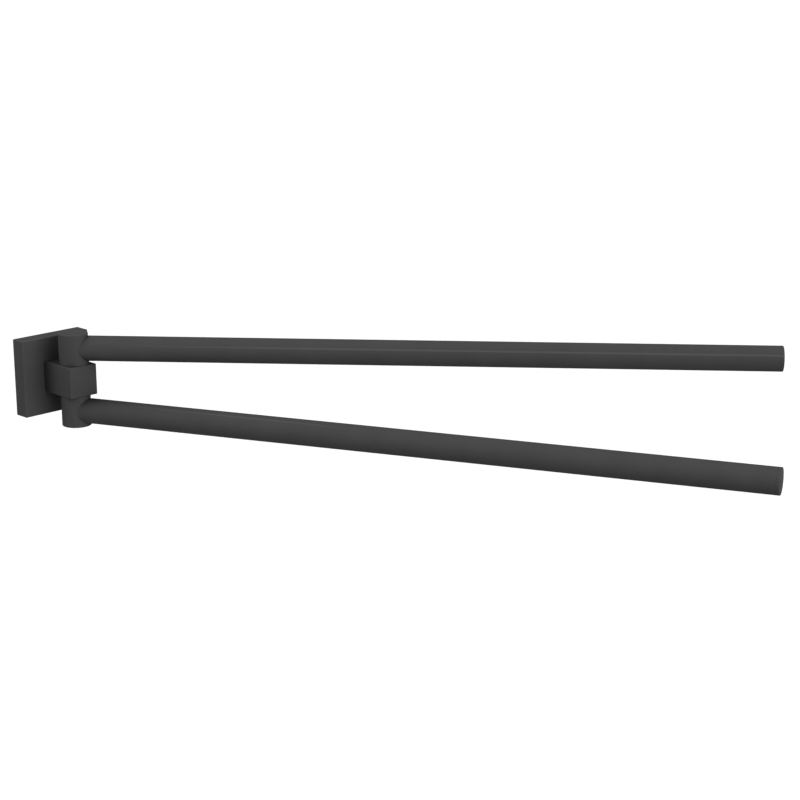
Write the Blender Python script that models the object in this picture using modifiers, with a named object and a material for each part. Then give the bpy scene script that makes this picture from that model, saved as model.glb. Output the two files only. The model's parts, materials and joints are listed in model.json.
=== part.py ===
"""Two-arm swivel towel holder with a square wall plate.

Metres, +Z up. The origin is the centre of the plate's back face, which lies on
the wall plane y = 0. The holder stands out of the wall towards -Y. The two arms
turn about one vertical axis, through hubs above and below a square post.
"""

import math

import bmesh
import bpy
from mathutils import Vector

MM = 0.001

# Driving dimensions
PLATE_SIDE = 50.0 * MM
PLATE_DEPTH = 10.5 * MM
PLATE_WALL = 3.5 * MM
PLATE_EDGE = 0.5 * MM
POST_SIDE = 20.0 * MM
POST_END = 39.7 * MM
POST_EDGE = 0.4 * MM
AXIS_FROM_WALL = 30.05 * MM
HUB_RADIUS = 9.4 * MM
HUB_END = 30.2 * MM
HUB_EDGE = 0.5 * MM
ARM_RADIUS = 8.1 * MM
ARM_WALL = 1.4 * MM
ARM_HEIGHT = 20.2 * MM
UPPER_ARM_REACH = 445.3 * MM
LOWER_ARM_REACH = 447.1 * MM
ARM_EDGE = 0.3 * MM
UPPER_ARM_ANGLE = math.radians(48.84)
LOWER_ARM_ANGLE = math.radians(64.87)
PIN_RADIUS = 4.0 * MM

# Clearances
JOINT_GAP = 0.3 * MM
FIT_GAP = 0.15 * MM
RUNNING_GAP = 0.1 * MM
TURN_GAP = 0.45 * MM
FLANGE_GAP = 0.15 * MM

# Broken edges of the hidden pieces, and how far a cutter runs on past a face
BREAK = 0.4 * MM
FINE_BREAK = 0.2 * MM
THREAD_BREAK = 0.6 * MM
BEYOND = 0.5 * MM

# Wall bracket, in the plate's recess
RECESS_FLOOR = 7.0 * MM
BRACKET_SIDE = 41.6 * MM
BRACKET_DEPTH = 5.0 * MM
BRACKET_EDGE = 1.2 * MM
BRACKET_HOLE_SPACING = 26.0 * MM
BRACKET_HOLE_RADIUS = 2.6 * MM
COUNTERSINK_RADIUS = 4.7 * MM
HEAD_POCKET_RADIUS = 7.0 * MM
BRACKET_WEB = 1.6 * MM
BACK_POCKET_DEPTH = 3.0 * MM
BACK_RIB = 4.0 * MM
BACK_BAR = 7.0 * MM
BRACKET_FRAME = 2.0 * MM
NOTCH_HALF_WIDTH = 6.0 * MM
NOTCH_LOW = 1.0 * MM
NOTCH_HIGH = 4.0 * MM
NOTCH_DEPTH = 0.9 * MM

# Screws, dowel, pin and bearing parts, inside the post and the hubs
POST_SCREW_RADIUS = 3.0 * MM
POST_SCREW_HEAD_RADIUS = 5.0 * MM
POST_SCREW_HEAD = 2.9 * MM
POST_SCREW_SHANK = 13.0 * MM
POST_SCREW_SOCKET = (2.5 * MM, 1.9 * MM)
PLATE_GRUB_RADIUS = 2.0 * MM
PLATE_GRUB_CONE = 1.3 * MM
PLATE_GRUB_POINT = 0.5 * MM
PLATE_GRUB_SOCKET = (1.15 * MM, 1.6 * MM)
PIN_GRUB_LENGTH = 5.0 * MM
PIN_GRUB_SOCKET = (1.7 * MM, 2.4 * MM)
DOWEL_RADIUS = 1.5 * MM
DOWEL_LENGTH = 7.0 * MM
DOWEL_IN_PLATE = 3.0 * MM
DOWEL_HEIGHT = 7.0 * MM
BUSH_RADIUS = 5.0 * MM
BUSH_FLANGE_RADIUS = 7.5 * MM
BUSH_FLANGE = 1.0 * MM
CUP_RADIUS = 6.8 * MM
CUP_FLOOR = 23.8 * MM
PIN_END = 25.0 * MM
PIN_THREAD_DEPTH = 9.0 * MM
WASHER_THICKNESS = 1.0 * MM
WAVE_WIRE = 0.3 * MM
WAVE_SWING = 0.3 * MM
WAVES = 3
RETAINER_RADIUS = 2.0 * MM
RETAINER_HEAD_RADIUS = 3.8 * MM
RETAINER_HEAD = 1.9 * MM
RETAINER_SHANK = 8.5 * MM
RETAINER_CROWN = 2.6 * MM
RETAINER_SOCKET = (1.45 * MM, 1.3 * MM)
CAP_THICKNESS = 1.6 * MM
SPIGOT_THREAD_RADIUS = 3.0 * MM
SPIGOT_BODY = 18.0 * MM
HUB_THREAD_START = 4.5 * MM
END_CAP_DISC = 2.0 * MM
END_CAP_PLUG = 8.0 * MM

ROUND_STEPS = 40
SMALL_STEPS = 24
SHARP_ANGLE = math.radians(30)
BEVEL_ANGLE = math.radians(40)
SAME_POINT = 0.001 * MM

COLOURS = {
    "black_finish": ((0.030, 0.030, 0.031, 1.0), 0.6, 0.0),
    "bright_steel": ((0.55, 0.55, 0.56, 1.0), 0.32, 1.0),
    "dark_steel": ((0.10, 0.10, 0.11, 1.0), 0.45, 1.0),
    "cast_zinc": ((0.40, 0.41, 0.42, 1.0), 0.55, 1.0),
    "bush_polymer": ((0.06, 0.06, 0.061, 1.0), 0.5, 0.0),
}


def clear_scene():
    for item in list(bpy.data.objects):
        bpy.data.objects.remove(item, do_unlink=True)


def new_collection(name):
    made = bpy.data.collections.new(name)
    bpy.context.scene.collection.children.link(made)
    return made


def make_material(name):
    colour, roughness, metallic = COLOURS[name]
    made = bpy.data.materials.new(name)
    made.use_nodes = True
    shader = made.node_tree.nodes["Principled BSDF"]
    shader.inputs["Base Color"].default_value = colour
    shader.inputs["Roughness"].default_value = roughness
    shader.inputs["Metallic"].default_value = metallic
    return made


def object_from(shape, name, collection):
    """An object from a bmesh, which is used up."""
    mesh = bpy.data.meshes.new(name)
    bmesh.ops.recalc_face_normals(shape, faces=shape.faces)
    shape.to_mesh(mesh)
    shape.free()
    made = bpy.data.objects.new(name, mesh)
    collection.objects.link(made)
    return made


def box(name, low, high, collection):
    """A box between two corners, with its origin at its centre."""
    low = Vector(low)
    high = Vector(high)
    shape = bmesh.new()
    bmesh.ops.create_cube(shape, size=1.0)
    bmesh.ops.scale(shape, vec=high - low, verts=shape.verts)
    made = object_from(shape, name, collection)
    made.location = (low + high) / 2
    return made


def rod(name, radius, start, length, direction, collection, steps=ROUND_STEPS, tip=None):
    """A cylinder, or a cone where tip is another radius, from start along direction."""
    shape = bmesh.new()
    bmesh.ops.create_cone(
        shape,
        cap_ends=True,
        segments=steps,
        radius1=radius,
        radius2=radius if tip is None else tip,
        depth=length,
    )
    bmesh.ops.translate(shape, vec=(0, 0, length / 2), verts=shape.verts)
    made = object_from(shape, name, collection)
    made.location = start
    made.rotation_mode = "QUATERNION"
    made.rotation_quaternion = Vector(direction).to_track_quat("Z", "Y")
    return made


def turned(name, outline, collection, steps=ROUND_STEPS):
    """A solid of revolution about Z. The outline runs down the outer side, (radius, height)."""
    mesh = bpy.data.meshes.new(name)
    points = [(radius, 0.0, height) for radius, height in outline]
    closed = outline[0][0] > 0 or outline[-1][0] > 0
    edges = [(i, i + 1) for i in range(len(points) - 1)]
    if closed:
        edges.append((len(points) - 1, 0))
    mesh.from_pydata(points, edges, [])
    made = bpy.data.objects.new(name, mesh)
    collection.objects.link(made)
    screw = made.modifiers.new("Screw", "SCREW")
    screw.steps = steps
    screw.render_steps = steps
    screw.use_merge_vertices = True
    screw.merge_threshold = SAME_POINT
    return made


def rounded_corner(radius, height, edge, steps=3):
    """A quarter-round at the top outer corner of a turned profile, from its top face down."""
    made = []
    for i in range(steps + 1):
        angle = math.pi / 2 * (1 - i / steps)
        made.append((radius - edge + edge * math.cos(angle), height - edge + edge * math.sin(angle)))
    return made


def bevelled(item, width, segments=3):
    bevel = item.modifiers.new("Bevel", "BEVEL")
    bevel.width = width
    bevel.segments = segments
    bevel.limit_method = "ANGLE"
    bevel.angle_limit = BEVEL_ANGLE
    return item


def bevelled_in_front(box_item, width, segments=3):
    """Rounds all edges of a box except those of its back face, which stay sharp against the wall."""
    mesh = box_item.data
    back = max(vertex.co.y for vertex in mesh.vertices)
    weights = mesh.attributes.new("bevel_weight_edge", "FLOAT", "EDGE")
    for edge in mesh.edges:
        nearest = min(mesh.vertices[index].co.y for index in edge.vertices)
        weights.data[edge.index].value = 1.0 if nearest < back - JOINT_GAP else 0.0
    bevelled(box_item, width, segments).modifiers["Bevel"].limit_method = "WEIGHT"
    return box_item


def cut(item, cutter):
    """Cuts one object with another, which stays as a hidden helper."""
    modifier = item.modifiers.new("Cut", "BOOLEAN")
    modifier.operation = "DIFFERENCE"
    modifier.solver = "EXACT"
    modifier.object = cutter
    cutter.hide_render = True
    cutter.display_type = "WIRE"


def round_hole(item, name, radius, start, length, direction, steps=SMALL_STEPS):
    """Cuts a round hole from a point outside a piece, along a direction."""
    cut(item, rod(f"{name}_cutter", radius, start, length, direction, CUTTERS, steps))


def hex_socket(screw, name, size, start, direction):
    """Cuts a hexagon socket of a given radius and depth into a screw from its driven end."""
    radius, depth = size
    direction = Vector(direction)
    round_hole(screw, name, radius, Vector(start) - direction * BEYOND, depth + BEYOND, direction, 6)


def finished(item, material, parent=None):
    """Gives a piece its material and smooth shading, and puts it under its parent empty."""
    item.data.materials.clear()
    item.data.materials.append(MATERIALS[material])
    item.data.shade_smooth()
    if item.data.polygons:
        item.data.set_sharp_from_angle(angle=SHARP_ANGLE)
    if parent is not None:
        item.parent = parent
    return item


def wall_plate():
    """The square cover: a rounded box, hollow from behind, with holes for its three fixings."""
    half = PLATE_SIDE / 2
    inner = half - PLATE_WALL
    plate = box("wall_plate", (-half, -PLATE_DEPTH, -half), (half, 0, half), PARTS)
    bevelled_in_front(plate, PLATE_EDGE)
    cut(plate, box("recess_cutter", (-inner, -RECESS_FLOOR, -inner), (inner, PLATE_DEPTH, inner), CUTTERS))
    out = (0, -1, 0)
    through = 2 * PLATE_DEPTH
    round_hole(plate, "plate_screw_hole", POST_SCREW_RADIUS + FIT_GAP, (0, 0, 0), through, out)
    round_hole(plate, "plate_dowel_hole", DOWEL_RADIUS + FIT_GAP, (0, 0, DOWEL_HEIGHT), through, out)
    below = (0, -BRACKET_DEPTH / 2, -half - JOINT_GAP)
    round_hole(plate, "plate_grub_hole", PLATE_GRUB_RADIUS + FIT_GAP, below, PLATE_WALL * 2, (0, 0, 1))
    return finished(plate, "black_finish")


def wall_bracket():
    """The cast bracket in the plate: countersunk for two wall screws, pocketed front and back."""
    half = BRACKET_SIDE / 2
    bracket = box("wall_bracket", (-half, -BRACKET_DEPTH, -half), (half, 0, half), PARTS)
    bevelled(bracket, BRACKET_EDGE, 2)
    for side in (-1, 1):
        notch = box(
            f"notch_cutter_{side}",
            (-NOTCH_HALF_WIDTH, -NOTCH_HIGH, side * half - NOTCH_DEPTH),
            (NOTCH_HALF_WIDTH, -NOTCH_LOW, side * half + NOTCH_DEPTH),
            CUTTERS,
        )
        cut(bracket, notch)
        cut(bracket, back_pocket(side, -1))
        cut(bracket, back_pocket(side, 1))
    out = (0, -1, 0)
    round_hole(bracket, "head_pocket", HEAD_POCKET_RADIUS, (0, -BRACKET_WEB, 0), BRACKET_DEPTH, out)
    for side in (-1, 1):
        cut(bracket, wall_screw_cutter(side))
    return finished(bracket, "cast_zinc")


def wall_screw_cutter(side):
    """A screw hole and its 90 degree countersink as one turned shape, run on past both faces."""
    wide = COUNTERSINK_RADIUS + BEYOND
    front = BRACKET_DEPTH + BEYOND
    outline = [
        (0.0, front),
        (wide, front),
        (BRACKET_HOLE_RADIUS, front - (wide - BRACKET_HOLE_RADIUS)),
        (BRACKET_HOLE_RADIUS, -BEYOND),
        (0.0, -BEYOND),
    ]
    cutter = turned(f"wall_screw_cutter_{side}", outline, CUTTERS, SMALL_STEPS)
    cutter.rotation_euler = (math.pi / 2, 0, 0)
    cutter.location = (side * BRACKET_HOLE_SPACING / 2, 0, 0)
    return cutter


def back_pocket(side, end):
    """One of the four pockets that lighten the casting from behind, between its ribs and frame."""
    edge = BRACKET_SIDE / 2 - BRACKET_FRAME
    x = sorted((side * BACK_RIB, side * edge))
    z = sorted((end * BACK_BAR, end * edge))
    low = (x[0], -BACK_POCKET_DEPTH, z[0])
    high = (x[1], BACK_POCKET_DEPTH, z[1])
    return box(f"back_pocket_cutter_{side}_{end}", low, high, CUTTERS)


def plate_grub_screw():
    """A set screw in the plate's lower edge, with its cone point in the bracket's notch."""
    bottom = -PLATE_SIDE / 2 + BREAK
    point = -BRACKET_SIDE / 2 + PLATE_GRUB_POINT
    length = point - bottom
    outline = [
        (0.0, length),
        (PLATE_GRUB_POINT, length),
        (PLATE_GRUB_RADIUS, length - PLATE_GRUB_CONE),
        (PLATE_GRUB_RADIUS, BREAK),
        (PLATE_GRUB_RADIUS - BREAK, 0.0),
        (0.0, 0.0),
    ]
    screw = turned("plate_grub_screw", outline, PARTS, SMALL_STEPS)
    start = (0, -BRACKET_DEPTH / 2, bottom)
    screw.location = start
    hex_socket(screw, "plate_grub_socket", PLATE_GRUB_SOCKET, start, (0, 0, 1))
    return finished(screw, "bright_steel")


def post_block():
    """The square post: a vertical bore for the pin, and a blind thread and dowel hole from behind."""
    half = POST_SIDE / 2
    back = -PLATE_DEPTH - JOINT_GAP
    behind = back + BEYOND
    block = box("post_block", (-half, -POST_END, -half), (half, back, half), PARTS)
    bevelled(block, POST_EDGE, 2)
    bottom = (0, -AXIS_FROM_WALL, -POST_SIDE)
    round_hole(block, "post_bore", PIN_RADIUS + RUNNING_GAP, bottom, 2 * POST_SIDE, (0, 0, 1), ROUND_STEPS)
    thread = behind + AXIS_FROM_WALL
    round_hole(block, "post_thread", POST_SCREW_RADIUS + FIT_GAP, (0, behind, 0), thread, (0, -1, 0))
    dowel = behind + PLATE_DEPTH - DOWEL_IN_PLATE + DOWEL_LENGTH + JOINT_GAP
    dowel_start = (0, behind, DOWEL_HEIGHT)
    round_hole(block, "post_dowel_hole", DOWEL_RADIUS + FIT_GAP, dowel_start, dowel, (0, -1, 0))
    return finished(block, "black_finish")


def post_screw():
    """The screw from inside the plate into the post, with a cheese head and a hexagon socket."""
    seat = -RECESS_FLOOR + JOINT_GAP
    outline = [
        (0.0, POST_SCREW_HEAD),
        (POST_SCREW_HEAD_RADIUS - BREAK, POST_SCREW_HEAD),
        (POST_SCREW_HEAD_RADIUS, POST_SCREW_HEAD - BREAK),
        (POST_SCREW_HEAD_RADIUS, 0.0),
        (POST_SCREW_RADIUS, 0.0),
        (POST_SCREW_RADIUS, -POST_SCREW_SHANK + THREAD_BREAK),
        (POST_SCREW_RADIUS - THREAD_BREAK, -POST_SCREW_SHANK),
        (0.0, -POST_SCREW_SHANK),
    ]
    screw = turned("post_screw", outline, PARTS, SMALL_STEPS)
    screw.rotation_euler = (-math.pi / 2, 0, 0)
    screw.location = (0, seat, 0)
    top = (0, seat + POST_SCREW_HEAD, 0)
    hex_socket(screw, "post_screw_socket", POST_SCREW_SOCKET, top, (0, -1, 0))
    return finished(screw, "bright_steel")


def post_dowel():
    """A chamfered steel dowel between the plate and the post."""
    outline = chamfered_rod_outline(DOWEL_RADIUS, DOWEL_LENGTH)
    dowel = turned("post_dowel", outline, PARTS, SMALL_STEPS)
    dowel.rotation_euler = (math.pi / 2, 0, 0)
    dowel.location = (0, -PLATE_DEPTH + DOWEL_IN_PLATE, DOWEL_HEIGHT)
    return finished(dowel, "bright_steel")


def chamfered_rod_outline(radius, length):
    return [
        (0.0, length),
        (radius - BREAK, length),
        (radius, length - BREAK),
        (radius, BREAK),
        (radius - BREAK, 0.0),
        (0.0, 0.0),
    ]


def pivot_pin():
    """One pin through the post for both hubs, with a tapped hole in each end."""
    outline = chamfered_rod_outline(PIN_RADIUS, 2 * PIN_END)
    pin = turned("pivot_pin", outline, PARTS)
    pin.location = (0, -AXIS_FROM_WALL, -PIN_END)
    for sign in (-1, 1):
        start = (0, -AXIS_FROM_WALL, sign * (PIN_END + BEYOND))
        depth = PIN_THREAD_DEPTH + BEYOND
        round_hole(pin, f"pin_thread_{sign}", RETAINER_RADIUS + FIT_GAP, start, depth, (0, 0, -sign))
    return finished(pin, "bright_steel")


def pin_grub_screw():
    """The set screw in the post's thread that presses on the pin."""
    start = -AXIS_FROM_WALL + PIN_RADIUS + JOINT_GAP
    outline = chamfered_rod_outline(POST_SCREW_RADIUS, PIN_GRUB_LENGTH)
    screw = turned("pin_grub_screw", outline, PARTS, SMALL_STEPS)
    screw.rotation_euler = (-math.pi / 2, 0, 0)
    screw.location = (0, start, 0)
    top = (0, start + PIN_GRUB_LENGTH, 0)
    hex_socket(screw, "pin_grub_socket", PIN_GRUB_SOCKET, top, (0, -1, 0))
    return finished(screw, "dark_steel")


def hub_outline():
    """The hub's turned section, with z up from the post: outer wall, flange seat, bore and cup."""
    low = POST_SIDE / 2 + TURN_GAP
    seat = low + BUSH_FLANGE - FLANGE_GAP
    bore = BUSH_RADIUS + FIT_GAP
    outer_top = rounded_corner(HUB_RADIUS, HUB_END, HUB_EDGE)
    return outer_top + [
        (HUB_RADIUS, low + BREAK),
        (HUB_RADIUS - BREAK, low),
        (BUSH_FLANGE_RADIUS + FIT_GAP, low),
        (BUSH_FLANGE_RADIUS + FIT_GAP, seat),
        (bore, seat),
        (bore, CUP_FLOOR),
        (CUP_RADIUS, CUP_FLOOR),
        (CUP_RADIUS, HUB_END),
    ]


def bush_outline():
    low = POST_SIDE / 2 + FLANGE_GAP
    high = CUP_FLOOR - JOINT_GAP
    inner = PIN_RADIUS + RUNNING_GAP
    return [
        (BUSH_RADIUS, high),
        (BUSH_RADIUS, low + BUSH_FLANGE),
        (BUSH_FLANGE_RADIUS, low + BUSH_FLANGE),
        (BUSH_FLANGE_RADIUS, low),
        (inner, low),
        (inner, high),
    ]


def mirrored(outline):
    """The same outline below the post. Its order is reversed so that it still runs downwards."""
    return [(radius, -height) for radius, height in reversed(outline)]


def placed_outline(outline, sign):
    return outline if sign > 0 else mirrored(outline)


def hub(prefix, sign, arm, aim):
    """The round hub, with a threaded hole through its wall for the arm's spigot."""
    item = turned(f"{prefix}_hub", placed_outline(hub_outline(), sign), PARTS)
    start = Vector((0, -AXIS_FROM_WALL, sign * ARM_HEIGHT)) + aim * HUB_THREAD_START
    round_hole(item, f"{prefix}_hub_thread", SPIGOT_THREAD_RADIUS + FIT_GAP, start, HUB_RADIUS, aim)
    return finished(item, "black_finish", arm)


def bushing(prefix, sign, arm):
    """The flanged bush between the pin and the hub."""
    item = turned(f"{prefix}_bushing", placed_outline(bush_outline(), sign), PARTS)
    return finished(item, "bush_polymer", arm)


def wave_washer(prefix, sign, arm):
    """A thin ring with three waves, between the hub's cup floor and the retaining washer."""
    inner = PIN_RADIUS + JOINT_GAP
    outer = CUP_RADIUS - JOINT_GAP - RUNNING_GAP
    middle = (CUP_FLOOR + PIN_END + RUNNING_GAP) / 2
    outline = [
        (outer, WAVE_WIRE / 2),
        (outer, -WAVE_WIRE / 2),
        (inner, -WAVE_WIRE / 2),
        (inner, WAVE_WIRE / 2),
    ]
    flat = turned(f"{prefix}_flat_ring", outline, PARTS)
    bpy.context.view_layer.update()
    graph = bpy.context.evaluated_depsgraph_get()
    mesh = bpy.data.meshes.new_from_object(flat.evaluated_get(graph))
    bpy.data.objects.remove(flat, do_unlink=True)
    for vertex in mesh.vertices:
        angle = math.atan2(vertex.co.y, vertex.co.x)
        vertex.co.z += WAVE_SWING * math.cos(WAVES * angle)
    mesh.name = f"{prefix}_wave_washer"
    item = bpy.data.objects.new(f"{prefix}_wave_washer", mesh)
    PARTS.objects.link(item)
    item.location = (0, 0, sign * middle)
    return finished(item, "bright_steel", arm)


def retaining_washer(prefix, sign):
    """The flat washer on the pin's end, which keeps the hub on the pin."""
    low = PIN_END + FIT_GAP
    high = low + WASHER_THICKNESS
    outer = CUP_RADIUS - JOINT_GAP - FINE_BREAK
    inner = RETAINER_RADIUS + FIT_GAP
    outline = [(outer, high), (outer, low), (inner, low), (inner, high)]
    item = turned(f"{prefix}_retaining_washer", placed_outline(outline, sign), PARTS)
    item.location = (0, -AXIS_FROM_WALL, 0)
    return finished(item, "bright_steel")


def retaining_screw(prefix, sign):
    """A low button-head screw in the pin's end, with a hexagon socket."""
    seat = PIN_END + WASHER_THICKNESS + 2 * FIT_GAP
    top = seat + RETAINER_HEAD
    tip = seat - RETAINER_SHANK
    outline = [
        (0.0, top),
        (RETAINER_CROWN, top),
        (RETAINER_HEAD_RADIUS - BREAK, top - THREAD_BREAK),
        (RETAINER_HEAD_RADIUS, seat + BREAK),
        (RETAINER_HEAD_RADIUS, seat),
        (RETAINER_RADIUS, seat),
        (RETAINER_RADIUS, tip + BREAK),
        (RETAINER_RADIUS - BREAK, tip),
        (0.0, tip),
    ]
    item = turned(f"{prefix}_retaining_screw", placed_outline(outline, sign), PARTS, SMALL_STEPS)
    item.location = (0, -AXIS_FROM_WALL, 0)
    driven = (0, -AXIS_FROM_WALL, sign * top)
    hex_socket(item, f"{prefix}_retaining_socket", RETAINER_SOCKET, driven, (0, 0, -sign))
    return finished(item, "dark_steel")


def hub_cap(prefix, sign, arm):
    """The disc that closes the hub's outer end, flush with the hub."""
    radius = CUP_RADIUS - FIT_GAP
    low = HUB_END - CAP_THICKNESS
    outline = [
        (0.0, HUB_END),
        (radius - FINE_BREAK, HUB_END),
        (radius, HUB_END - FINE_BREAK),
        (radius, low),
        (0.0, low),
    ]
    item = turned(f"{prefix}_hub_cap", placed_outline(outline, sign), PARTS)
    return finished(item, "black_finish", arm)


def arm_spigot(prefix, sign, arm, aim):
    """The stub that joins the tube to the hub: a threaded nose, and a body inside the tube."""
    body_radius = ARM_RADIUS - ARM_WALL - FIT_GAP
    nose = BUSH_RADIUS + BEYOND
    body = HUB_RADIUS + JOINT_GAP + RUNNING_GAP
    end = body + SPIGOT_BODY
    outline = [
        (0.0, end),
        (body_radius - THREAD_BREAK, end),
        (body_radius, end - THREAD_BREAK),
        (body_radius, body),
        (SPIGOT_THREAD_RADIUS, body),
        (SPIGOT_THREAD_RADIUS, nose + BREAK),
        (SPIGOT_THREAD_RADIUS - BREAK, nose),
        (0.0, nose),
    ]
    item = turned(f"{prefix}_arm_spigot", outline, PARTS, SMALL_STEPS)
    along_arm(item, sign, aim)
    return finished(item, "bright_steel", arm)


def along_arm(item, sign, aim):
    """Turns a piece made along +Z so that it lies along its arm's centre line."""
    item.rotation_mode = "QUATERNION"
    item.rotation_quaternion = aim.to_track_quat("Z", "Y")
    item.location = (0, 0, sign * ARM_HEIGHT)


def arm_tube(prefix, sign, arm, aim, reach):
    """The round tube, its inner end cut to the hub's curve."""
    outer = ARM_RADIUS
    inner = ARM_RADIUS - ARM_WALL
    end = reach - END_CAP_DISC - FIT_GAP
    outline = [(outer, end), (outer, 0.0), (inner, 0.0), (inner, end)]
    item = turned(f"{prefix}_arm_tube", outline, PARTS)
    along_arm(item, sign, aim)
    below = arm.location + Vector((0, 0, sign * ARM_HEIGHT - 2 * HUB_RADIUS))
    saddle = HUB_RADIUS + FIT_GAP
    round_hole(item, f"{prefix}_saddle", saddle, below, 4 * HUB_RADIUS, (0, 0, 1), ROUND_STEPS)
    return finished(item, "black_finish", arm)


def end_cap(prefix, sign, arm, aim, reach):
    """The arm's closed end: a disc as wide as the tube, with a plug inside it."""
    plug_radius = ARM_RADIUS - ARM_WALL - FIT_GAP
    disc = reach - END_CAP_DISC
    plug = disc - END_CAP_PLUG
    outline = [(0.0, reach)] + rounded_corner(ARM_RADIUS, reach, ARM_EDGE) + [
        (ARM_RADIUS, disc),
        (plug_radius, disc),
        (plug_radius, plug + BREAK),
        (plug_radius - BREAK, plug),
        (0.0, plug),
    ]
    item = turned(f"{prefix}_end_cap", outline, PARTS)
    along_arm(item, sign, aim)
    return finished(item, "black_finish", arm)


def swing_arm(prefix, sign, angle, reach):
    """One arm with its hub and bearing parts, on an empty that stands on the swing axis."""
    arm = bpy.data.objects.new(f"{prefix}_arm_axis", None)
    PARTS.objects.link(arm)
    arm.location = (0, -AXIS_FROM_WALL, 0)
    aim = Vector((math.cos(angle), -math.sin(angle), 0))
    hub(prefix, sign, arm, aim)
    bushing(prefix, sign, arm)
    wave_washer(prefix, sign, arm)
    hub_cap(prefix, sign, arm)
    arm_spigot(prefix, sign, arm, aim)
    arm_tube(prefix, sign, arm, aim, reach)
    end_cap(prefix, sign, arm, aim, reach)
    retaining_washer(prefix, sign)
    retaining_screw(prefix, sign)


clear_scene()
PARTS = new_collection("towel_holder")
CUTTERS = new_collection("cutters")
MATERIALS = {name: make_material(name) for name in COLOURS}

wall_plate()
wall_bracket()
plate_grub_screw()
post_block()
post_screw()
post_dowel()
pivot_pin()
pin_grub_screw()
swing_arm("upper", 1, UPPER_ARM_ANGLE, UPPER_ARM_REACH)
swing_arm("lower", -1, LOWER_ARM_ANGLE, LOWER_ARM_REACH)
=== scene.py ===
"""Looks of the two-arm swivel towel holder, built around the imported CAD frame."""

import json
import math

import bmesh
import bpy
from mathutils import Matrix, Vector

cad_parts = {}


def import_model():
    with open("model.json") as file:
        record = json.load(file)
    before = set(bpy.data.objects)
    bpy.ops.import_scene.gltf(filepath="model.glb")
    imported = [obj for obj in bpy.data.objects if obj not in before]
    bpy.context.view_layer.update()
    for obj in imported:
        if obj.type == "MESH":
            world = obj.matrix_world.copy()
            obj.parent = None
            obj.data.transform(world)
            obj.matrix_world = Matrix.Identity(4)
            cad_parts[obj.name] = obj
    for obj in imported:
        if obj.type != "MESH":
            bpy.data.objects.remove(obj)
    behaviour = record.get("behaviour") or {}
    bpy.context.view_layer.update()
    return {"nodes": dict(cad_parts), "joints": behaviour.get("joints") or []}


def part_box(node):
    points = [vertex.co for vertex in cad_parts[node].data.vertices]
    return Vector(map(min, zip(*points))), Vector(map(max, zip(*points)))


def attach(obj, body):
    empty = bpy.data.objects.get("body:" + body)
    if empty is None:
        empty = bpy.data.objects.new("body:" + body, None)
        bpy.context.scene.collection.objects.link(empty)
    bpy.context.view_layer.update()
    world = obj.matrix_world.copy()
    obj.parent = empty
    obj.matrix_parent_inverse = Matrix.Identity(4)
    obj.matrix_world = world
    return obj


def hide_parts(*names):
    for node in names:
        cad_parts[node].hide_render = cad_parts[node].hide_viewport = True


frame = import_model()

MM = 0.001
UP = Vector((0, 0, 1))
TO_WALL = Vector((0, 1, 0))

# How finely round shapes are divided, and where shading breaks
FINE = 128
MEDIUM = 64
FLOOR_STEPS = 96
HEXAGON = 6
THREAD_STEPS = 48
THREAD_ROWS = 8
ROUND_STEPS = 4
FINE_ROUND_STEPS = 5
PLUG_ROUND_STEPS = 6
CROWN_STEPS = 8
HUB_FOOT_STEPS = 8
HUB_ROUND_STEPS = 10
ROUND_PROFILE = 0.5
SHARP = math.radians(32)

# Camera, as the photograph sees the holder
CAMERA_AZIMUTH = math.radians(-45.2)
CAMERA_ELEVATION = math.radians(15.3)
CAMERA_AIM = Vector((0.11040, -0.21241, -0.00034))
CAMERA_DISTANCE = 1.1051
CAMERA_LENS = 81.414
CAMERA_SENSOR = 36.0
CAMERA_CLIP_START = 0.01
CAMERA_CLIP_END = 200.0

# Stage
FLOOR_DROP = 0.62
FLOOR_RADIUS = 60.0
FLOOR_TONE = 0.40
FLOOR_ROUGHNESS = 0.9
FLOOR_SPECULAR = 0.1
WORLD_LEVEL = 1.05
LAMP_WIDTH = math.radians(50)
LAMPS = {
    "front_softbox": (math.radians(0), math.radians(15), 5.2),
    "rear_left_softbox": (math.radians(225), math.radians(42), 4.25),
    "right_fill": (math.radians(45), math.radians(45), 1.0),
}

# Fits between pieces
HOLE_GAP = 0.15 * MM
JOINT_LINE = 0.04 * MM
BEYOND = 1.0 * MM

# Plate and post
PLATE_WALL = 3.5 * MM
PLATE_FACE = 3.5 * MM
PLATE_ROUND = 0.5 * MM
RECESS_ROUND = 1.2 * MM
GRUB_LEAD = 0.65 * MM
POST_ROUND = 0.45 * MM

# Wall bracket
BRACKET_ROUND = 1.2 * MM
BRACKET_WEB = 1.6 * MM
HEAD_POCKET_RADIUS = 7.0 * MM
WALL_SCREW_RADIUS = 2.6 * MM
WALL_SCREW_SPREAD = 13.0 * MM
COUNTERSINK_RADIUS = 4.7 * MM
COUNTERSINK_LAND = 0.4 * MM
BACK_POCKET_DEPTH = 3.0 * MM
BACK_POCKET_ROUND = 1.5 * MM
BACK_RIB = 4.0 * MM
BACK_BAR = 7.0 * MM
BRACKET_FRAME = 2.0 * MM
DRAFT = 0.94
NOTCH_HALF_WIDTH = 6.0 * MM
NOTCH_LOW = 1.0 * MM
NOTCH_HIGH = 4.0 * MM
NOTCH_DEPTH = 0.9 * MM
NOTCH_ROUND = 0.6 * MM
EJECTOR_RADIUS = 1.4 * MM
EJECTOR_DEPTH = 0.2 * MM
EJECTOR_HEIGHT = 13.0 * MM

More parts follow.
